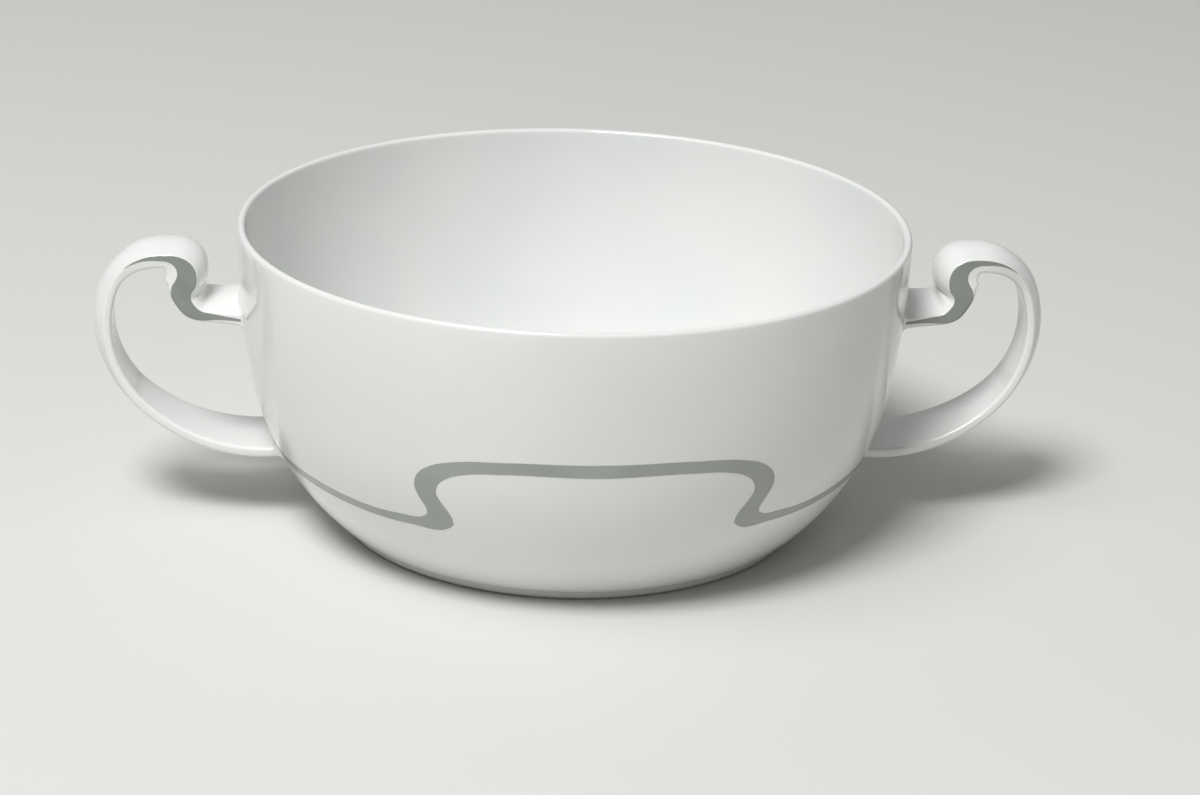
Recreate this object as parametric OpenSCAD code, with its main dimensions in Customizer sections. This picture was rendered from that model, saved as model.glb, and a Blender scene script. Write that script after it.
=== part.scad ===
// Bouillon cup: a low bowl on a foot ring, with two scrolled ribbon handles, cast as one piece.
// Millimetres, Z up. The foot ring stands on Z = 0 and the handles lie along X.

/* [Bowl] */
// Diameter across the rim
rim_d = 118; // [108:1:130]
// Height from the foot to the top of the lip
cup_h = 54; // [49:0.5:60]
// Thickness of the wall, in the belly
wall_t = 2.4; // [2:0.1:3.2]
// Thickness of the lip, to which the wall thins
lip_t = 1.4; // [1.1:0.1:2]
// Thickness of the base
base_t = 3.2; // [2.5:0.1:5]
// Radius of the slight bow in the upper wall
side_r = 160; // [130:5:220]
// Height at which the upper wall turns into the belly
belly_top = 27.3; // [25:0.1:31]
// Radius of the belly
belly_r = 43.5; // [41:0.5:46]
// Radius of the hollow between the belly and the floor, inside
floor_r = 13; // [8:1:18]
// Radius of the edge under the belly, outside
heel_r = 1.6; // [1:0.1:2.5]

/* [Foot ring] */
// Height of the foot ring
foot_h = 2.2; // [1.8:0.1:3.5]
// Width of the foot ring
foot_w = 3.2; // [2.4:0.1:5]
// How far the foot ring stands in from the edge of the belly
foot_inset = 1.6; // [1:0.1:5]
// Radius of the edges of the foot ring
foot_edge_r = 0.9; // [0.4:0.1:1.1]

/* [Handle path] */
// Depth of the upper root below the rim
stub_drop = 16; // [14:0.5:18]
// Length of the straight stub outside the wall
stub_len = 6; // [5:0.5:8]
// Angle at which the stub rises from the wall
stub_rise = 3; // [0:1:8]
// Radius of the bend that turns the stub up
bend_r = 4.4; // [4.2:0.1:5]
// Angle of that bend
bend_turn = 98; // [92:1:106]
// Radius of the curl over the top
curl_r = 3.6; // [3.4:0.1:4.4]
// Angle of the curl
curl_turn = 101; // [94:1:108]
// Radius of the shoulder
shoulder_r = 9.2; // [8:0.1:11]
// Angle of the shoulder
shoulder_turn = 70; // [62:1:78]
// Radius of the sweep round the outermost point
sweep_r = 19.5; // [17:0.5:22]
// Angle of the sweep
sweep_turn = 70; // [62:1:76]
// Height of the lower root
root_h = 13.4; // [12.4:0.2:15.4]

/* [Handle section] */
// Width of the ribbon where the stub meets the wall
root_w = 17; // [15:0.5:19]
// Width at the outer end of the stub
stub_w = 15; // [13:0.5:17]
// Width at the top of the curl
crown_w = 12; // [10:0.5:14]
// Width at the shoulder, where the ribbon is narrowest
outer_w = 8.6; // [8:0.1:12]
// Width where the lower arm meets the wall
arm_w = 16; // [13:0.5:18]
// Thickness of the stub at its long edges
stub_t = 2.2; // [1.8:0.1:2.6]
// Thickness in the middle of the bend
neck_t = 2.9; // [2.4:0.1:3.4]
// Thickness of the curl where it is greatest
curl_t = 5.7; // [4.6:0.1:6]
// Thickness at the top of the curl
crown_t = 2.6; // [2:0.1:3.4]
// Thickness at the shoulder
outer_t = 1.6; // [1.4:0.1:2.4]
// Thickness of the lower arm where it meets the wall
arm_t = 1.8; // [1.5:0.1:2.6]
// Rise of the ribbon's outer face over its long edges, at both roots
root_dome = 0.4; // [0:0.1:1]
// The same rise at the outer end of the stub
stub_dome = 0.8; // [0:0.1:1.4]
// The same rise in the middle of the bend, where it fills the hollow between stub and curl
neck_dome = 1.9; // [1:0.1:2.1]
// The same rise where the curl is thickest
curl_dome = 1.5; // [0:0.1:1.6]
// The same rise at the top of the curl
crown_dome = 1.2; // [0:0.1:1.6]
// The same rise at the shoulder
outer_dome = 1.7; // [0:0.1:2]
// Radius of the ribbon's long edges
edge_r = 0.6; // [0.3:0.1:0.8]
// Radius of the fillet round each root
root_fillet = 1.2; // [0.8:0.1:2]

/* [Hidden] */
$fn = 96;
side_fn = 720;
overlap = 1;

// Bowl: the lip is a half round, and the wall below it bows in from a vertical tangent
lip_r = lip_t / 2;
rim_r = rim_d / 2;
lip_z = cup_h - lip_r;
side_x = rim_r - side_r;
side_angle = asin((lip_z - belly_top) / side_r);
belly_x = side_x + (side_r - belly_r) * cos(side_angle);
belly_z = lip_z - (side_r - belly_r) * sin(side_angle);
floor_z = foot_h + base_t;

// Outer radius of the bowl at a height
function outer_r(z) = z > belly_top
    ? side_x + sqrt(pow(side_r, 2) - pow(lip_z - z, 2))
    : belly_x + sqrt(pow(belly_r, 2) - pow(belly_z - z, 2));

foot_out = outer_r(foot_h) - foot_inset;
foot_in = foot_out - foot_w;
foot_cove = foot_h / 3;

// Handle path: a straight stub, then arcs that each start along the last one's tangent
root_sink = (wall_t + lip_t) / 4;
stub_z = cup_h - stub_drop;
stub_x = outer_r(stub_z) - root_sink;
root_x = outer_r(root_h) - root_sink;
// A pose is [x, z, heading]. A left turn has a positive angle, a right turn a negative one.
function ahead(p, d) = [p.x + d * cos(p.z), p.y + d * sin(p.z), p.z];
function turned(p, r, a) = let (side = sign(a), h = p.z + a) [
    p.x - side * r * (sin(p.z) - sin(h)),
    p.y + side * r * (cos(p.z) - cos(h)),
    h
];

stub_start = [stub_x, stub_z, stub_rise];
stub_end = ahead(stub_start, root_sink + stub_len);
bend_end = turned(stub_end, bend_r, bend_turn);
curl_end = turned(bend_end, curl_r, -curl_turn);
shoulder_end = turned(curl_end, shoulder_r, -shoulder_turn);
sweep_end = turned(shoulder_end, sweep_r, -sweep_turn);

// The lower arm is the arc that leaves along the sweep's tangent and ends in the wall at the lower root
arm_chord = [root_x - sweep_end.x, root_h - sweep_end.y];
arm_turn = 2 * (360 + sweep_end.z - (180 + atan2(-arm_chord.y, -arm_chord.x)));
arm_r = norm(arm_chord) / (2 * sin(arm_turn / 2));

// Distances along the path to the end of each stretch
deg_per_rad = 180 / PI;
at_stub = root_sink + stub_len;
at_bend = at_stub + bend_r * bend_turn / deg_per_rad;
at_curl = at_bend + curl_r * curl_turn / deg_per_rad;
at_shoulder = at_curl + shoulder_r * shoulder_turn / deg_per_rad;
at_sweep = at_shoulder + sweep_r * sweep_turn / deg_per_rad;
at_root = at_sweep + arm_r * arm_turn / deg_per_rad;
at_neck = (at_stub + at_bend) / 2;
bulge_share = 0.3;
at_bulge = at_bend + (at_curl - at_bend) * bulge_share;

// Pose at a distance along the path
function pose_at(d) =
    d < at_stub ? ahead(stub_start, d)
    : d < at_bend ? turned(stub_end, bend_r, (d - at_stub) / bend_r * deg_per_rad)
    : d < at_curl ? turned(bend_end, curl_r, (at_bend - d) / curl_r * deg_per_rad)
    : d < at_shoulder ? turned(curl_end, shoulder_r, (at_curl - d) / shoulder_r * deg_per_rad)
    : d < at_sweep ? turned(shoulder_end, sweep_r, (at_shoulder - d) / sweep_r * deg_per_rad)
    : turned(sweep_end, arm_r, (at_sweep - d) / arm_r * deg_per_rad);

// Distances at which the ribbon has a section: close together in the fillets, and in each arc by its turn
turn_step = 9;
fillet_steps = 3;
stub_steps = 3;
function steps(start, end, n) = [for (i = [1:n]) start + (end - start) * i / n];
function arc_steps(start, end, turn) = steps(start, end, ceil(turn / turn_step));
fillet_d = concat([0, root_sink], steps(root_sink, root_sink + root_fillet, fillet_steps));
fillet_end = root_sink + root_fillet;
section_d = concat(
    fillet_d,
    steps(fillet_end, at_stub, stub_steps),
    arc_steps(at_stub, at_bend, bend_turn),
    arc_steps(at_bend, at_curl, curl_turn),
    arc_steps(at_curl, at_shoulder, shoulder_turn),
    arc_steps(at_shoulder, at_sweep, sweep_turn),
    arc_steps(at_sweep, at_root - fillet_end, arm_turn),
    [for (k = [len(fillet_d) - 2:-1:0]) at_root - fillet_d[k]]
);

// Sizes of the section along the path, as [distance, size] pairs
thickness_keys = [
    [0, stub_t], [at_stub, stub_t], [at_neck, neck_t], [at_bulge, curl_t],
    [at_curl, crown_t], [at_shoulder, outer_t], [at_root, arm_t]
];
width_keys = [
    [0, root_w], [at_stub, stub_w], [at_curl, crown_w], [at_shoulder, outer_w], [at_root, arm_w]
];
dome_keys = [
    [0, root_dome], [at_stub, stub_dome], [at_neck, neck_dome], [at_bulge, curl_dome], [at_curl, crown_dome],
    [at_shoulder, outer_dome], [at_root, root_dome]
];

// Size at a distance, easing in and out between the pairs
function eased(d, keys, i = 0) = i > len(keys) - 3 || d <= keys[i + 1][0]
    ? let (share = min(1, (d - keys[i][0]) / (keys[i + 1][0] - keys[i][0])))
        keys[i][1] + (keys[i + 1][1] - keys[i][1]) * (1 - cos(180 * share)) / 2
    : eased(d, keys, i + 1);

// At each root the sections follow the wall: the end leans with it and bows round it
stub_lean = stub_rise + asin((lip_z - stub_z) / side_r);
root_lean = pose_at(at_root).z + 180 + asin((belly_z - root_h) / belly_r);
lean_keys = [[0, tan(stub_lean)], [at_stub, 0], [at_sweep, 0], [at_root, tan(root_lean)]];
bow_keys = [[0, -1], [at_stub, 0], [at_sweep, 0], [at_root, 1]];

// How far the wall falls back beside the middle of a root
function fall(y) = outer_r(root_h) - sqrt(pow(outer_r(root_h), 2) - y * y);

// How far a root's fillet stands out at a distance from the wall
function fillet_rise(d) = d >= root_fillet ? 0
    : root_fillet - sqrt(pow(root_fillet, 2) - pow(root_fillet - max(0, d), 2));

// One rounded edge of the ribbon, turning by turn, as [along Y, outward]. A thin edge keeps part of its face flat.
edge_steps = 3;
edge_share = 0.45;
function long_edge(w, t, turn) = let (r = min(edge_r, t * edge_share)) [
    for (k = [0:edge_steps]) let (a = turn * k / edge_steps) [w / 2 - r + r * cos(a), t / 2 - r + r * sin(a)]
];

// The whole section: the outer face is domed, as a parabola, and the inner face is flat
dome_shares = [0.7, 0.35];
function section(w, t, dome) = let (
    outer_edge = long_edge(w, t, 90 - atan2(4 * dome, w)),
    last = outer_edge[edge_steps],
    crest = t / 2 + dome,
    rise = [for (f = dome_shares) [f * last[0], crest - (crest - last[1]) * f * f]],
    outer_half = concat(outer_edge, rise),
    inner_half = long_edge(w, t, 90)
) concat(
    outer_half,
    [[0, crest]],
    [for (i = [len(outer_half) - 1:-1:0]) [-outer_half[i][0], outer_half[i][1]]],
    [for (s = inner_half) -s],
    [[0, -t / 2]],
    [for (i = [edge_steps:-1:0]) [inner_half[i][0], -inner_half[i][1]]]
);

// A section point carried to its place at a distance along the path
function placed(d, s) = let (
    shift = s[1] * eased(d, lean_keys) + fall(s[0]) * eased(d, bow_keys),
    p = ahead(pose_at(d), shift)
) [p.x - s[1] * sin(p.z), s[0], p.y + s[1] * cos(p.z)];

module handle() {
    rings = [for (d = section_d) let (
        grow = 2 * fillet_rise(min(d, at_root - d) - root_sink)
    ) [for (s = section(eased(d, width_keys) + grow, eased(d, thickness_keys) + grow, eased(d, dome_keys)))
        placed(d, s)]];
    n = len(rings[0]);
    last = len(rings) - 1;
    skin = [for (i = [0:last - 1]) for (k = [0:n - 1]) let (
        a = i * n + k, b = i * n + (k + 1) % n
    ) each [[a, b + n, b], [a, a + n, b + n]]];
    polyhedron([for (r = rings) each r], concat(
        skin,
        [[for (k = [0:n - 1]) k]],
        [[for (k = [n - 1:-1:0]) last * n + k]]
    ));
}

// Half of the bowl's outline, moved in by inset, and by lip_inset at the lip, with its lower corner rounded.
// The upper wall is the arc that starts upright at the lip and ends along the belly's own arc.
module outline(inset, lip_inset, bottom, corner, top) {
    belly = belly_r - inset;
    lip_x = rim_r - lip_inset;
    reach = lip_x - belly;
    centre_x = (pow(belly_x, 2) + pow(lip_z - belly_z, 2) - pow(reach, 2)) / (2 * (belly_x - reach));
    turn_z = belly_z - belly * sin(atan2(lip_z - belly_z, belly_x - centre_x));
    corner_z = bottom + corner;
    corner_x = belly_x + sqrt(pow(belly - corner, 2) - pow(belly_z - corner_z, 2));
    lean = atan2(belly_z - corner_z, corner_x - belly_x);
    meet_x = belly_x + belly * cos(lean);
    meet_z = belly_z - belly * sin(lean);
    intersection() {
        translate([centre_x, lip_z]) circle(lip_x - centre_x, $fn = side_fn);
        translate([0, turn_z]) square([rim_r + overlap, lip_z - turn_z]);
    }
    intersection() {
        translate([belly_x, belly_z]) circle(belly, $fn = side_fn);
        translate([0, meet_z]) square([rim_r + overlap, turn_z - meet_z]);
    }
    translate([corner_x, corner_z]) circle(corner);
    polygon([[0, bottom], [corner_x, bottom], [meet_x, meet_z], [0, meet_z]]);
    if (top > lip_z) translate([0, lip_z]) square([lip_x, top - lip_z]);
}

module foot_section() {
    translate([foot_in, foot_edge_r]) square([foot_w, foot_h - foot_edge_r + overlap]);
    translate([foot_in + foot_edge_r, 0]) square([foot_w - 2 * foot_edge_r, foot_h]);
    for (x = [foot_in + foot_edge_r, foot_out - foot_edge_r]) translate([x, foot_edge_r]) circle(foot_edge_r);
    // Coves where the ring meets the underside
    difference() {
        translate([foot_in - foot_cove, foot_h - foot_cove])
            square([foot_w + 2 * foot_cove, foot_cove + overlap]);
        for (x = [foot_in - foot_cove, foot_out + foot_cove]) translate([x, foot_h - foot_cove]) circle(foot_cove);
    }
}

module bowl() {
    rotate_extrude() {
        difference() {
            union() {
                outline(0, 0, foot_h, heel_r, lip_z);
                foot_section();
            }
            outline(wall_t, lip_t, floor_z, floor_r, cup_h);
        }
        translate([rim_r - lip_r, lip_z]) circle(lip_r);
    }
}

module bouillon_cup() {
    color("white") union() {
        bowl();
        handle();
        mirror([1, 0, 0]) handle();
    }
}

bouillon_cup();
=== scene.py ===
# Bouillon cup in white glazed porcelain: a bowl and two ribbon handles, with a grey line under the glaze.
# Sizes are in millimetres, and go to metres as each mesh is finished.
import bpy
import bmesh
import math
from mathutils import Matrix, Vector
from mathutils.geometry import interpolate_bezier


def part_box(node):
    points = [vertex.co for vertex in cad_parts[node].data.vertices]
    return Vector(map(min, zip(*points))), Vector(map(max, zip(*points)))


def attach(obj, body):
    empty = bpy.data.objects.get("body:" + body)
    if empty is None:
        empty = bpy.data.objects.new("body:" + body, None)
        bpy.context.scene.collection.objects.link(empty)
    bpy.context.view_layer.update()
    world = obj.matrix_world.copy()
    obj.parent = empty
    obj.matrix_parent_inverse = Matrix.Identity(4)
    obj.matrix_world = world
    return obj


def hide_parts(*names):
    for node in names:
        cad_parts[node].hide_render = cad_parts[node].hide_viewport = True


metre = 1000  # millimetres in one
weld = 0.002  # vertices closer than this become one
crease = 35  # degrees from one face to the next, past which their edge is sharp

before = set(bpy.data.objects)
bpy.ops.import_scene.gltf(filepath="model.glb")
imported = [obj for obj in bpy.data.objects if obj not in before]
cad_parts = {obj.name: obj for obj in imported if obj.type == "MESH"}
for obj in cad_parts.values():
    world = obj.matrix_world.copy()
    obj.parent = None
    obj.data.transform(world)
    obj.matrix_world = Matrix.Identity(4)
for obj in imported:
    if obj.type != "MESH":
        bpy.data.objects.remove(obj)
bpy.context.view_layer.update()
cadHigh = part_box("bouillon_cup")[1]
print("frame loaded")


# Camera: the fitted viewpoint, seen from the middle of the cup's foot
view = {
    "lens": 90.8,
    "sensor": 36,
    "distance": 550.5,
    "azimuth": -4.0,
    "elevation": 23.02,
    "pan": -0.556,  # turns away from the foot's middle, in degrees
    "tilt": 2.028,
    "roll": 1.564,
}


def directionTo(place):
    # Azimuth goes from the front towards the right, and elevation up from the floor, in degrees
    azimuth, elevation = math.radians(place["azimuth"]), math.radians(place["elevation"])
    return Vector((
        math.sin(azimuth) * math.cos(elevation),
        -math.cos(azimuth) * math.cos(elevation),
        math.sin(elevation),
    ))


def addCamera():
    back = directionTo(view)
    data = bpy.data.cameras.new("camera")
    data.lens = view["lens"]
    data.sensor_width = view["sensor"]
    data.clip_start = 0.01  # in metres
    camera = bpy.data.objects.new("camera", data)
    aim = (-back).to_track_quat("-Z", "Y").to_matrix()
    turn = (
        Matrix.Rotation(math.radians(view["pan"]), 3, "Y")
        @ Matrix.Rotation(math.radians(view["tilt"]), 3, "X")
        @ Matrix.Rotation(math.radians(view["roll"]), 3, "Z")
    )
    camera.matrix_world = Matrix.Translation(back * view["distance"] / metre) @ (aim @ turn).to_4x4()
    bpy.context.scene.collection.objects.link(camera)
    bpy.context.scene.camera = camera


addCamera()
print("camera placed")


# Materials
def linear(hexColour):
    def channel(pair):
        c = int(pair, 16) / 255
        return c / 12.92 if c <= 0.04045 else ((c + 0.055) / 1.055) ** 2.4
    return (channel(hexColour[1:3]), channel(hexColour[3:5]), channel(hexColour[5:7]), 1)


def addNode(material, kind, settings=None, links=None, **values):
    # Adds a node, sets its properties and the values of its sockets, and links sockets of other nodes to it
    node = material.node_tree.nodes.new(kind)
    for name, value in (settings or {}).items():
        setattr(node, name, value)
    for name, value in values.items():
        node.inputs[name.replace("_", " ")].default_value = value
    for name, socket in (links or {}).items():
        material.node_tree.links.new(socket, node.inputs[name])
    return node


def newMaterial(name):
    material = bpy.data.materials.new(name)
    material.use_nodes = True
    material.node_tree.nodes.clear()
    return material


# Hard-paste porcelain under a clear feldspar glaze, fired glossy. The body is a cool white with faint
# clouds. The glaze ran in slow waves and has a fine skin, so its sharp highlights bend a little. The grey is
# colour under the same glaze. The stripes on the handles are a deeper grey than the line round the bowl:
# that is painted shade, standing for the shade that falls on the handles' long edges.
glaze = {
    "white": {"light": "#EBECEA", "dark": "#E6E8E6", "cloud": 28},
    "line": {"light": "#A5A9A4", "dark": "#9DA19C", "cloud": 9},
    # the same grey, darkened: painted shade on the handles' long edges
    "stripe": {"light": "#8D918C", "dark": "#858984", "cloud": 9},
    "smooth": 0.08,  # least roughness
    "rough": 0.13,  # most roughness
    "index": 1.52,  # of refraction
    "wave": 14,
    "waveHeight": 0.12,
    "skin": 1.6,
    "skinHeight": 0.004,
    "relief": 0.5,  # share of both heights that shows
}


def makePorcelain(name, body):
    # Noise mostly stays between 0.3 and 0.7, so its middle is spread over the whole of a tint or a gloss
    material = newMaterial(name)
    place = addNode(material, "ShaderNodeTexCoord").outputs["Object"]
    clouds = addNode(
        material, "ShaderNodeTexNoise", links={"Vector": place}, Scale=metre / body["cloud"], Detail=3,
    ).outputs["Fac"]
    tint = addNode(
        material, "ShaderNodeMapRange", links={"Value": clouds}, From_Min=0.35, From_Max=0.65,
    ).outputs["Result"]
    colour = addNode(
        material, "ShaderNodeMix", {"data_type": "RGBA"}, {"Factor": tint},
        A=linear(body["light"]), B=linear(body["dark"]),
    ).outputs["Result"]
    gloss = addNode(
        material, "ShaderNodeMapRange", links={"Value": clouds},
        From_Min=0.3, From_Max=0.7, To_Min=glaze["smooth"], To_Max=glaze["rough"],
    ).outputs["Result"]
    waves = addNode(
        material, "ShaderNodeTexNoise", links={"Vector": place}, Scale=metre / glaze["wave"], Detail=1,
    ).outputs["Fac"]
    skin = addNode(
        material, "ShaderNodeTexNoise", links={"Vector": place}, Scale=metre / glaze["skin"], Detail=2,
    ).outputs["Fac"]
    flow = addNode(
        material, "ShaderNodeBump", links={"Height": waves},
        Strength=glaze["relief"], Distance=glaze["waveHeight"] / metre,
    ).outputs["Normal"]
    surface = addNode(
        material, "ShaderNodeBump", links={"Height": skin, "Normal": flow},
        Strength=glaze["relief"], Distance=glaze["skinHeight"] / metre,
    ).outputs["Normal"]
    shader = addNode(
        material, "ShaderNodeBsdfPrincipled",
        links={"Base Color": colour, "Roughness": gloss, "Normal": surface}, IOR=glaze["index"],
    )
    addNode(material, "ShaderNodeOutputMaterial", links={"Surface": shader.outputs["BSDF"]})
    return material


# Bisque: the flat of the ring that the cup stood on in the kiln, wiped free of glaze. It looks dry and
# creamy beside the glaze. Its real grain is too fine to show, so it is drawn coarser.
bareRing = {
    "light": "#DEDAD0",
    "dark": "#C9C4B8",
    "grain": 0.5,
    "grainHeight": 0.05,
    "relief": 0.6,  # share of the height that shows
    "roughness": 0.7,
    "index": 1.5,
}


def makeBisque():
    material = newMaterial("bare porcelain bisque")
    place = addNode(material, "ShaderNodeTexCoord").outputs["Object"]
    grains = addNode(
        material, "ShaderNodeTexNoise", links={"Vector": place}, Scale=metre / bareRing["grain"], Detail=4,
    ).outputs["Fac"]
    tint = addNode(
        material, "ShaderNodeMapRange", links={"Value": grains}, From_Min=0.35, From_Max=0.65,
    ).outputs["Result"]
    colour = addNode(
        material, "ShaderNodeMix", {"data_type": "RGBA"}, {"Factor": tint},
        A=linear(bareRing["light"]), B=linear(bareRing["dark"]),
    ).outputs["Result"]
    surface = addNode(
        material, "ShaderNodeBump", links={"Height": grains},
        Strength=bareRing["relief"], Distance=bareRing["grainHeight"] / metre,
    ).outputs["Normal"]
    shader = addNode(
        material, "ShaderNodeBsdfPrincipled", links={"Base Color": colour, "Normal": surface},
        Roughness=bareRing["roughness"], IOR=bareRing["index"],
    )
    addNode(material, "ShaderNodeOutputMaterial", links={"Surface": shader.outputs["BSDF"]})
    return material


whiteGlaze = makePorcelain("white glazed porcelain", glaze["white"])
greyGlaze = makePorcelain("grey line under clear glaze", glaze["line"])
# The stripes' deeper grey is painted shade on the handles' long edges
shadedStripeGlaze = makePorcelain("grey stripe with painted shade", glaze["stripe"])
bisque = makeBisque()
print("materials made")


# Bowl, as a half profile that is spun about the axis
bowl = {
    "wall": 2.4,
    "lip": 1.4,  # thickness to which the wall thins
    "floor": 3.2,
    "sideRadius": 160,  # slight bow of the upper wall
    "bellyTop": 27.3,
    "bellyRadius": 43.5,
    "hollowRadius": 13,  # inside, between belly and floor
    "heelRadius": 1.6,
    "footHeight": 2.2,
    "footWidth": 3.2,
    "footInset": 1.6,
    "footEdge": 0.9,
    "bareTop": 0.3,  # the glaze is wiped off the flat of the ring and a little round its edges
    "segments": 256,
}
rimRadius = cadHigh.y * metre
cupHeight = cadHigh.z * metre
lipHeight = cupHeight - bowl["lip"] / 2

# The upper wall's arc ends upright at the lip, and meets the belly's arc smoothly at the belly's top
sideCentre = Vector((rimRadius - bowl["sideRadius"], lipHeight))
sideAngle = math.asin((lipHeight - bowl["bellyTop"]) / bowl["sideRadius"])
bellyCentre = sideCentre + (bowl["sideRadius"] - bowl["bellyRadius"]) * Vector(
    (math.cos(sideAngle), -math.sin(sideAngle))
)


def wallRadius(z):
    if z > bowl["bellyTop"]:
        return sideCentre.x + math.sqrt(bowl["sideRadius"] ** 2 - (lipHeight - z) ** 2)
    return bellyCentre.x + math.sqrt(bowl["bellyRadius"] ** 2 - (bellyCentre.y - z) ** 2)


def wallLean(z):
    # Angle by which the wall's normal points down
    if z > bowl["bellyTop"]:
        return math.asin((lipHeight - z) / bowl["sideRadius"])
    return math.asin((bellyCentre.y - z) / bowl["bellyRadius"])


def lineTo(bm, tip, end, steps=1):
    start = tip.co.copy()
    for k in range(steps):
        tip = bmesh.ops.extrude_vert_indiv(bm, verts=[tip])["verts"][0]
        tip.co = start.lerp(Vector((end[0], 0, end[1])), (k + 1) / steps)
    return tip


def arcTo(bm, tip, centre, end, steps):
    # Half a turn at most, so the shorter way round is the right one
    middle = Vector((centre[0], 0, centre[1]))
    first, last = tip.co - middle, Vector((end[0], 0, end[1])) - middle
    angle = math.atan2(first.cross(last).y, first.dot(last))
    spun = bmesh.ops.spin(bm, geom=[tip], cent=middle, axis=(0, 1, 0), angle=angle, steps=steps)
    return [v for v in spun["geom_last"] if isinstance(v, bmesh.types.BMVert)][0]


def cornerOf(inset, bottom, corner):
    # Where the belly, moved in by inset, runs through a rounded corner into a level face
    belly = bowl["bellyRadius"] - inset
    rise = bellyCentre.y - bottom - corner
    centre = Vector((bellyCentre.x + math.sqrt((belly - corner) ** 2 - rise ** 2), bottom + corner))
    towards = (centre - bellyCentre).normalized()
    return centre, bellyCentre + belly * towards


def sideOf(inset, lipInset):
    # Centre of the upper wall's arc, and the place where it turns into the belly
    belly, lip = bowl["bellyRadius"] - inset, rimRadius - lipInset
    reach = lip - belly
    squares = bellyCentre.x ** 2 + (lipHeight - bellyCentre.y) ** 2 - reach ** 2
    centre = Vector((squares / (2 * (bellyCentre.x - reach)), lipHeight))
    return centre, bellyCentre + belly * (bellyCentre - centre).normalized()


def drawProfile(bm):
    # From the axis under the base, round the foot ring, up the outside, over the lip and down the inside
    base, edge, wall, lip = bowl["footHeight"], bowl["footEdge"], bowl["wall"], bowl["lip"]
    floor = base + bowl["floor"]
    cove = base / 3  # hollow corner on both sides of the ring
    footOut = wallRadius(base) - bowl["footInset"]
    footIn = footOut - bowl["footWidth"]
    lipMiddle = rimRadius - lip / 2
    heel, heelEnd = cornerOf(0, base, bowl["heelRadius"])
    hollow, hollowEnd = cornerOf(wall, floor, bowl["hollowRadius"])
    side, sideEnd = sideOf(wall, lip)
    tip = bm.verts.new((0, 0, base))
    tip = lineTo(bm, tip, (footIn - cove, base), steps=6)
    tip = arcTo(bm, tip, (footIn - cove, base - cove), (footIn, base - cove), steps=4)
    tip = lineTo(bm, tip, (footIn, edge))
    tip = arcTo(bm, tip, (footIn + edge, edge), (footIn + edge, 0), steps=5)
    tip = lineTo(bm, tip, (footOut - edge, 0), steps=2)
    tip = arcTo(bm, tip, (footOut - edge, edge), (footOut, edge), steps=5)
    tip = lineTo(bm, tip, (footOut, base - cove))
    tip = arcTo(bm, tip, (footOut + cove, base - cove), (footOut + cove, base), steps=4)
    tip = lineTo(bm, tip, (heel.x, base))
    tip = arcTo(bm, tip, heel, heelEnd, steps=5)
    tip = arcTo(bm, tip, bellyCentre, sideOf(0, 0)[1], steps=26)
    tip = arcTo(bm, tip, sideCentre, (rimRadius, lipHeight), steps=18)
    tip = arcTo(bm, tip, (lipMiddle, lipHeight), (lipMiddle, cupHeight), steps=7)
    tip = arcTo(bm, tip, (lipMiddle, lipHeight), (rimRadius - lip, lipHeight), steps=7)
    tip = arcTo(bm, tip, side, sideEnd, steps=22)
    tip = arcTo(bm, tip, bellyCentre, hollowEnd, steps=14)
    tip = arcTo(bm, tip, hollow, (hollow.x, floor), steps=14)
    lineTo(bm, tip, (0, floor), steps=6)


def finishMesh(bm, name, materials):
    bmesh.ops.remove_doubles(bm, verts=bm.verts, dist=weld)
    bmesh.ops.recalc_face_normals(bm, faces=bm.faces)
    bmesh.ops.scale(bm, vec=(1 / metre,) * 3, verts=bm.verts)
    for face in bm.faces:
        face.smooth = True
    for edge in bm.edges:
        edge.smooth = edge.calc_face_angle(0) < math.radians(crease)
    mesh = bpy.data.meshes.new(name)
    bm.to_mesh(mesh)
    bm.free()
    for material in materials:
        mesh.materials.append(material)
    piece = bpy.data.objects.new(name, mesh)
    bpy.context.scene.collection.objects.link(piece)
    return piece


def addBowl():
    bm = bmesh.new()
    drawProfile(bm)
    bmesh.ops.spin(
        bm, geom=bm.verts[:] + bm.edges[:], cent=(0, 0, 0), axis=(0, 0, 1),
        angle=math.tau, steps=bowl["segments"], use_merge=True,
    )
    return finishMesh(bm, "cup", [whiteGlaze, bisque])


# Handle: a ribbon swept along a straight stub and five arcs, each tangent to the last
handle = {
    "stubDrop": 16,  # below the rim
    "stubLength": 6,
    "stubRise": 3,  # in degrees
    # Radius and turn of the bend, the curl, the shoulder and the sweep
    "arcs": [(4.4, 98), (3.6, -101), (9.2, -70), (19.5, -70)],
    "rootHeight": 13.4,
    "widths": {"start": 17, "stub": 15, "curl": 12, "shoulder": 8.6, "root": 16},
    "thicknesses": {  # at the long edges
        "start": 2.2, "stub": 2.2, "neck": 2.9, "bulge": 5.7, "curl": 2.6, "shoulder": 1.6, "root": 1.8,
    },
    "domes": {  # rise of the outer face's middle above them
        "start": 0.4, "stub": 0.8, "neck": 1.9, "bulge": 1.5, "curl": 1.2, "shoulder": 1.7, "root": 0.4,
    },
    "bulgeShare": 0.3,  # of the curl, before its thickest place
    "edge": 0.6,
    "edgeShare": 0.45,  # most of a thin ribbon's thickness that each rounded edge may take
    "fillet": 1.2,
    "gap": 0.4,  # between sections
    "filletSections": 8,
    "filletCrowding": 1.6,  # power that draws them towards the wall
    "flatSteps": 4,
    "edgeSteps": 8,
    "domeSteps": 8,
}
rootSink = (bowl["wall"] + bowl["lip"]) / 4  # about halfway into the wall


def moved(pose, length, turn):
    # Pose after a straight, or after an arc that turns left by turn
    x, z, heading = pose
    if not turn:
        return (x + length * math.cos(heading), z + length * math.sin(heading), heading)
    radius = length / turn
    after = heading + turn
    return (
        x - radius * (math.sin(heading) - math.sin(after)),
        z + radius * (math.cos(heading) - math.cos(after)),
        after,
    )


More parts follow.
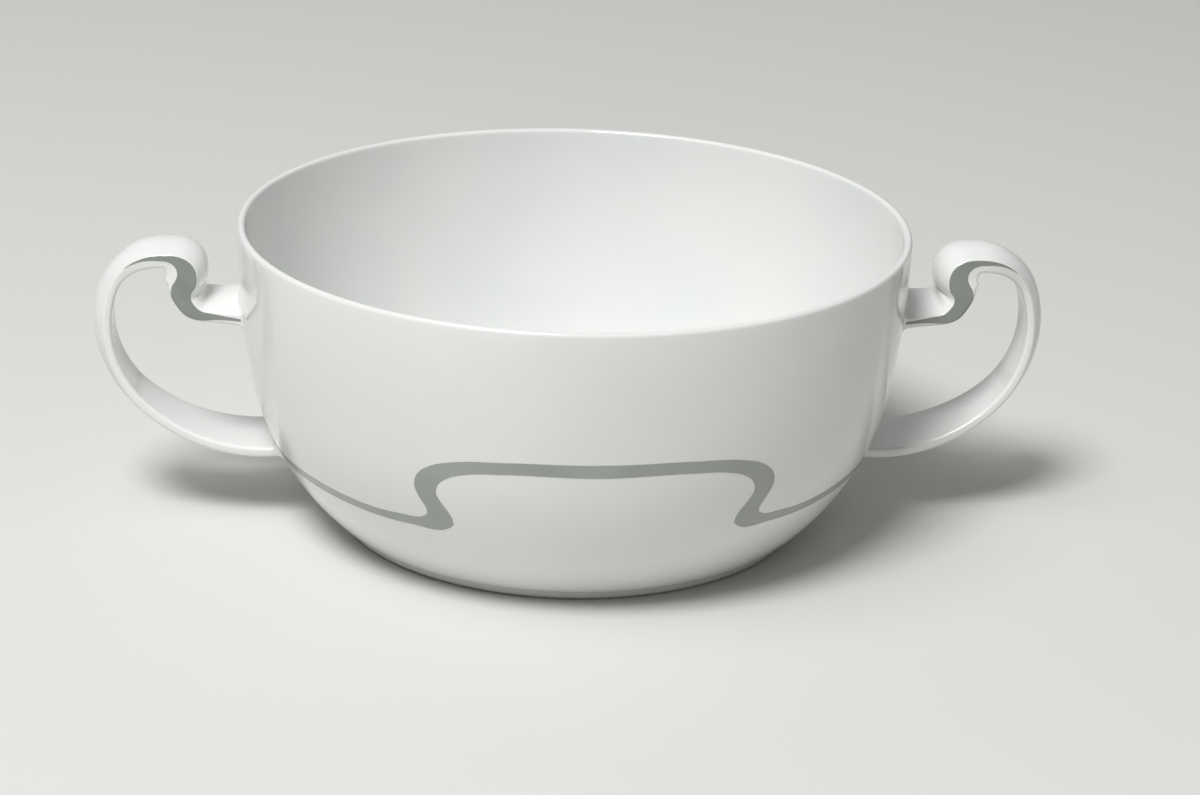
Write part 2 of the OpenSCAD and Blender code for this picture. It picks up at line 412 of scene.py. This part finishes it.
# Stretches of the path, each as its length and its turn to the left
stubHeight = cupHeight - handle["stubDrop"]
pathStart = (wallRadius(stubHeight) - rootSink, stubHeight, math.radians(handle["stubRise"]))
stretches = [(rootSink + handle["stubLength"], 0)]
stretches += [(radius * math.radians(abs(turn)), math.radians(turn)) for radius, turn in handle["arcs"]]
pathTip = pathStart
for length, turn in stretches:
    pathTip = moved(pathTip, length, turn)

# The lower arm is the arc to the right that leaves along the sweep's tangent and ends in the wall
armEnd = (wallRadius(handle["rootHeight"]) - rootSink, handle["rootHeight"])
armChord = Vector((armEnd[0] - pathTip[0], armEnd[1] - pathTip[1]))
halfTurn = (math.atan2(armChord.y, armChord.x) - pathTip[2]) % math.tau - math.tau
stretches.append((armChord.length * halfTurn / math.sin(halfTurn), 2 * halfTurn))

# Distances along the path
at = {"start": 0}
travelled = 0
for name, (length, turn) in zip(("stub", "bend", "curl", "shoulder", "sweep", "root"), stretches):
    travelled += length
    at[name] = travelled
at["neck"] = (at["stub"] + at["bend"]) / 2
at["bulge"] = at["bend"] + (at["curl"] - at["bend"]) * handle["bulgeShare"]


def poseAt(distance):
    pose = pathStart
    for length, turn in stretches:
        share = min(1, distance / length)
        pose = moved(pose, length * share, turn * share)
        distance -= length
        if distance <= 0:
            break
    return pose


def eased(distance, sizes):
    # Size at a distance, easing in and out between the named places
    keys = [(at[name], size) for name, size in sizes.items()]
    for (low, first), (high, second) in zip(keys, keys[1:]):
        if distance <= high:
            break
    share = min(1, max(0, (distance - low) / (high - low)))
    return first + (second - first) * (1 - math.cos(math.pi * share)) / 2


# At each root the sections follow the wall: the end leans with it and bows round it
leans = {
    "start": math.tan(wallLean(stubHeight) + math.radians(handle["stubRise"])),
    "stub": 0,
    "sweep": 0,
    "root": math.tan(poseAt(at["root"])[2] + math.pi + wallLean(handle["rootHeight"])),
}
bows = {"start": -1, "stub": 0, "sweep": 0, "root": 1}


def placed(distance, across, out):
    # A section point, across the ribbon and out from its middle, carried to its place on the path
    rootRadius = wallRadius(handle["rootHeight"])
    fall = rootRadius - math.sqrt(rootRadius ** 2 - across ** 2)
    shift = out * eased(distance, leans) + fall * eased(distance, bows)
    x, z, heading = moved(poseAt(distance), shift, 0)
    return Vector((x - out * math.sin(heading), across, z + out * math.cos(heading)))


def sectionSizes(distance):
    # Width, thickness, dome and edge radius, with the fillet at each root
    fillet = handle["fillet"]
    outside = max(0, min(distance, at["root"] - distance) - rootSink)
    flare = 0 if outside >= fillet else fillet - math.sqrt(fillet ** 2 - (fillet - outside) ** 2)
    thickness = eased(distance, handle["thicknesses"]) + 2 * flare
    return (
        eased(distance, handle["widths"]) + 2 * flare,
        thickness,
        eased(distance, handle["domes"]),
        min(handle["edge"], thickness * handle["edgeShare"]),
    )


def ringAt(distance):
    # Half a section goes from the middle of the flat inner face, round a long edge, to the dome's crest
    width, thickness, dome, edge = sectionSizes(distance)
    flatSteps, edgeSteps, domeSteps = handle["flatSteps"], handle["edgeSteps"], handle["domeSteps"]
    slope = math.atan2(4 * dome, width)  # of the dome, where it leaves the edge
    half = [Vector((k / flatSteps * (width / 2 - edge), -thickness / 2)) for k in range(flatSteps)]
    for low, high, side in ((-math.pi / 2, 0, -1), (0, math.pi / 2 - slope, 1)):
        for k in range(edgeSteps + 1):
            angle = low + (high - low) * k / edgeSteps
            half.append(Vector((
                width / 2 - edge + edge * math.cos(angle),
                side * (thickness / 2 - edge) + edge * math.sin(angle),
            )))
    last, crest = half[-1], thickness / 2 + dome
    for k in range(1, domeSteps + 1):
        share = 1 - k / domeSteps
        half.append(Vector((share * last.x, crest - (crest - last.y) * share ** 2)))
    whole = half + [Vector((-p.x, p.y)) for p in half[-2:0:-1]]
    return [placed(distance, p.x, p.y) for p in whole]


def sectionDistances():
    # Close together in the fillets
    count, power = handle["filletSections"], handle["filletCrowding"]
    fillet = [rootSink + handle["fillet"] * (k / count) ** power for k in range(count + 1)]
    start, end = fillet[-1], at["root"] - fillet[-1]
    spans = math.ceil((end - start) / handle["gap"])
    between = [start + (end - start) * k / spans for k in range(1, spans)]
    return [0] + fillet + between + [at["root"] - d for d in reversed(fillet)] + [at["root"]]


def follow(ring, edges, places):
    # Moves each new vertex of a sweep to its place, in the order of the ring that it grew from
    fresh = {v for e in edges for v in e.verts}
    grown = [next(e.other_vert(v) for e in v.link_edges if e.other_vert(v) in fresh) for v in ring]
    for vert, place in zip(grown, places):
        vert.co = place
    return grown


def addHandle(name, side):
    bm = bmesh.new()
    distances = sectionDistances()
    ring = [bm.verts.new(p) for p in ringAt(distances[0])]
    edges = [bm.edges.new((a, b)) for a, b in zip(ring, ring[1:] + ring[:1])]
    bmesh.ops.contextual_create(bm, geom=edges)
    for distance in distances[1:]:
        grown = bmesh.ops.extrude_edge_only(bm, edges=edges)["geom"]
        edges = [g for g in grown if isinstance(g, bmesh.types.BMEdge) and g.is_boundary]
        ring = follow(ring, edges, ringAt(distance))
    bmesh.ops.contextual_create(bm, geom=edges)
    bmesh.ops.scale(bm, vec=(side, 1, 1), verts=bm.verts)
    return finishMesh(bm, name, [whiteGlaze])


def uniteCup():
    cup = addBowl()
    handles = [addHandle("handleRight", 1), addHandle("handleLeft", -1)]
    for other in handles:
        union = cup.modifiers.new(other.name, "BOOLEAN")
        union.operation = "UNION"
        union.solver = "EXACT"
        union.object = other
    graph = bpy.context.evaluated_depsgraph_get()
    whole = bpy.data.meshes.new_from_object(cup.evaluated_get(graph))
    cup.modifiers.clear()
    cup.data = whole
    for other in handles:
        bpy.data.objects.remove(other)
    for polygon in whole.polygons:
        if polygon.center.z < bowl["bareTop"] / metre:
            polygon.material_index = 1  # bisque
    return cup


cup = uniteCup()
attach(cup, "root")
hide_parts("bouillon_cup")
print("cup made:", len(cup.data.polygons), "faces")


# Grey line: a thin closed shell of colour, between two smooth lines drawn flat and then laid on the cup
paint = {
    "lift": 0.04,  # above the glaze
    "sink": 0.06,  # below it
}


def slopesOf(points):
    # Direction of the smooth line at each of its points, from the points on both sides
    steps = [(b - a).normalized() for a, b in zip(points, points[1:])]
    lengths = [(b - a).length for a, b in zip(points, points[1:])]
    middle = [
        (first * after + second * before) / (before + after)
        for first, second, before, after in zip(steps, steps[1:], lengths, lengths[1:])
    ]
    return [steps[0]] + middle + [steps[-1]]


def smoothLines(gap, *lines):
    # Smooth lines through their points, each with the same number of places, a gap apart at most
    lines = [[Vector(point) for point in line] for line in lines]
    spans = range(len(lines[0]) - 1)
    counts = [math.ceil(max((line[k + 1] - line[k]).length for line in lines) / gap) for k in spans]
    smooth = []
    for line in lines:
        slopes, places = slopesOf(line), []
        for k in spans:
            start, end = line[k], line[k + 1]
            pull = (end - start).length / 3
            places += interpolate_bezier(
                start, start + slopes[k] * pull, end - slopes[k + 1] * pull, end, counts[k] + 1
            )[:-1]
        smooth.append([Vector(p[:2]) for p in places] + [line[-1]])
    return smooth


def addStrip(bm, lower, upper, laid, rows):
    # A sheet between the two lines, laid on the cup, with its rows closer together near the lines
    count = len(lower) - 1
    sheet = bmesh.ops.create_grid(bm, x_segments=count, y_segments=rows, size=0.5)["verts"]
    for vert in sheet:
        along = round((vert.co.x + 0.5) * count)
        share = (1 + math.sin(math.pi * vert.co.y)) / 2
        vert.co = laid(lower[along].lerp(upper[along], share))
    bmesh.ops.remove_doubles(bm, verts=sheet, dist=weld)


def growShell(bm):
    # The sheet stays as the shell's inner side, and a copy walled to it moves out
    grown = bmesh.ops.extrude_face_region(bm, geom=bm.faces[:], use_keep_orig=True)["geom"]
    bm.normal_update()
    for vert in grown:
        if isinstance(vert, bmesh.types.BMVert):
            vert.co += vert.normal * (paint["lift"] + paint["sink"])


# Bowl line: level bands that meet a long bracket at the front and at the back.
# Its points are in degrees round the cup from the bracket's middle, and in millimetres up.
bowlLine = {
    "turn": 1.3,  # the bracket sits a little to the right of the middle
    "gap": 1.2,
    "rows": 4,
    "upper": [
        (0, 31.1), (15.5, 30.8), (24.5, 29.7), (28.4, 28.4), (31.2, 26.2), (31.9, 23.9), (31.1, 21.5),
        (30.2, 19.5), (30.3, 18.6), (31.4, 17.8), (36, 17.2), (60, 17.25), (90, 17.15),
    ],
    "lower": [
        (0, 28.7), (15.5, 28.6), (22, 27.8), (25.4, 26.6), (27.4, 24.9), (27.9, 23.2), (27, 21.2),
        (25.7, 19), (25.5, 17.2), (27.2, 15.9), (34, 15.4), (60, 15.5), (90, 15.45),
    ],
}


def wrapped(point):
    # A point of the flat drawing, laid in the wall
    angle = math.radians(point.x + bowlLine["turn"])
    lean = wallLean(point.y)
    radius = wallRadius(point.y) - paint["sink"] * math.cos(lean)
    height = point.y + paint["sink"] * math.sin(lean)
    return Vector((radius * math.sin(angle), -radius * math.cos(angle), height))


def roundTheCup(quarter):
    # From the front's middle to the side, mirrored to the back's middle, and repeated round the other side
    half = quarter + [Vector((180 - p.x, p.y)) for p in quarter[-2::-1]]
    return half + [Vector((p.x + 180, p.y)) for p in half[1:]]


def addBowlLine():
    bm = bmesh.new()
    lower, upper = smoothLines(bowlLine["gap"], bowlLine["lower"], bowlLine["upper"])
    addStrip(bm, roundTheCup(lower), roundTheCup(upper), wrapped, bowlLine["rows"])
    growShell(bm)
    return finishMesh(bm, "bowl_line", [greyGlaze])


# Handle lines: a stripe on both long edges of each ribbon. It fills the curl's edge and tapers out past it.
# Its points are in millimetres along the path, and in shares of the edge, out from the inner face.
handleLine = {
    "gap": 0.3,
    "rows": 24,
    "inner": [
        (1.5, 0.44), (4.5, 0.37), (7, 0.22), (10, 0.05), (12.5, 0), (15, 0.23), (17, 0.42),
        (19.2, 0.53), (21.5, 0.57), (24, 0.71), (27.3, 0.84),
    ],
    "outer": [
        (1.5, 0.62), (4.5, 0.73), (7, 0.84), (9.6, 0.9), (12.5, 0.92), (15, 0.947), (17, 0.95),
        (19.2, 0.925), (21.5, 0.895), (24, 0.88), (27.3, 0.86),
    ],
}


def onEdge(point):
    # A point of the drawing, laid in the ribbon's long edge, flat part or rounded part
    width, thickness, dome, edge = sectionSizes(point.x)
    out = (point.y - 0.5) * thickness
    flat = thickness / 2 - edge
    angle = math.asin(min(1, max(0, abs(out) - flat) / edge))
    sunk = edge - paint["sink"]
    return placed(
        point.x,
        -(width / 2 - edge + sunk * math.cos(angle)),
        math.copysign(min(abs(out), flat) + sunk * math.sin(angle), out),
    )


def addHandleLines():
    # A front edge's stripe is mirrored to the back edge, and both to the other handle
    bm = bmesh.new()
    inner, outer = smoothLines(handleLine["gap"], handleLine["inner"], handleLine["outer"])
    addStrip(bm, inner, outer, onEdge, handleLine["rows"])
    for mirror in ((1, -1, 1), (-1, 1, 1)):
        twin = bmesh.ops.duplicate(bm, geom=bm.verts[:] + bm.edges[:] + bm.faces[:])["geom"]
        bmesh.ops.scale(bm, vec=mirror, verts=[g for g in twin if isinstance(g, bmesh.types.BMVert)])
        bmesh.ops.reverse_faces(bm, faces=[g for g in twin if isinstance(g, bmesh.types.BMFace)])
    growShell(bm)
    return finishMesh(bm, "handle_lines", [shadedStripeGlaze])


for line in (addBowlLine(), addHandleLines()):
    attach(line, "root")
    print(line.name, "made:", len(line.data.polygons), "faces")


# Studio: a pale floor and surround, two soft lamps from above on the left, and a large faint one behind.
# Its lengths are in metres.
studio = {
    "floor": "#DEDEDB",
    "floorRoughness": 0.6,
    "floorReach": 3,  # from its middle to each side
    "surround": "#F4F4F2",
    "surroundStrength": 0.18,
    "aim": 0.03,  # height at which the lamps point
    "lamps": {
        "key": {"azimuth": 330, "elevation": 58, "distance": 1.4, "size": 0.5, "watts": 15},
        "upper left": {"azimuth": 300, "elevation": 68, "distance": 1.4, "size": 0.8, "watts": 4.5},
        "behind": {"azimuth": 180, "elevation": 25, "distance": 1.4, "size": 1.6, "watts": 2},
    },
}


def addFloor():
    bm = bmesh.new()
    bmesh.ops.create_grid(bm, x_segments=1, y_segments=1, size=studio["floorReach"])
    mesh = bpy.data.meshes.new("floor")
    bm.to_mesh(mesh)
    bm.free()
    material = newMaterial("pale floor")
    shader = addNode(
        material, "ShaderNodeBsdfPrincipled",
        Base_Color=linear(studio["floor"]), Roughness=studio["floorRoughness"],
    )
    addNode(material, "ShaderNodeOutputMaterial", links={"Surface": shader.outputs["BSDF"]})
    mesh.materials.append(material)
    floor = bpy.data.objects.new("floor", mesh)
    bpy.context.scene.collection.objects.link(floor)


def addLamp(name, lamp):
    away = directionTo(lamp)
    data = bpy.data.lights.new(name, "AREA")
    data.shape = "DISK"
    data.size = lamp["size"]
    data.energy = lamp["watts"]
    disc = bpy.data.objects.new(name, data)
    disc.location = away * lamp["distance"] + Vector((0, 0, studio["aim"]))
    disc.rotation_euler = away.to_track_quat("Z", "Y").to_euler()
    bpy.context.scene.collection.objects.link(disc)


def addSurround():
    world = bpy.data.worlds.new("surround")
    world.use_nodes = True
    background = world.node_tree.nodes["Background"]
    background.inputs["Color"].default_value = linear(studio["surround"])
    background.inputs["Strength"].default_value = studio["surroundStrength"]
    bpy.context.scene.world = world


addFloor()
for name, lamp in studio["lamps"].items():
    addLamp(name, lamp)
addSurround()
bpy.context.scene.view_settings.view_transform = "Standard"
print("studio lit")
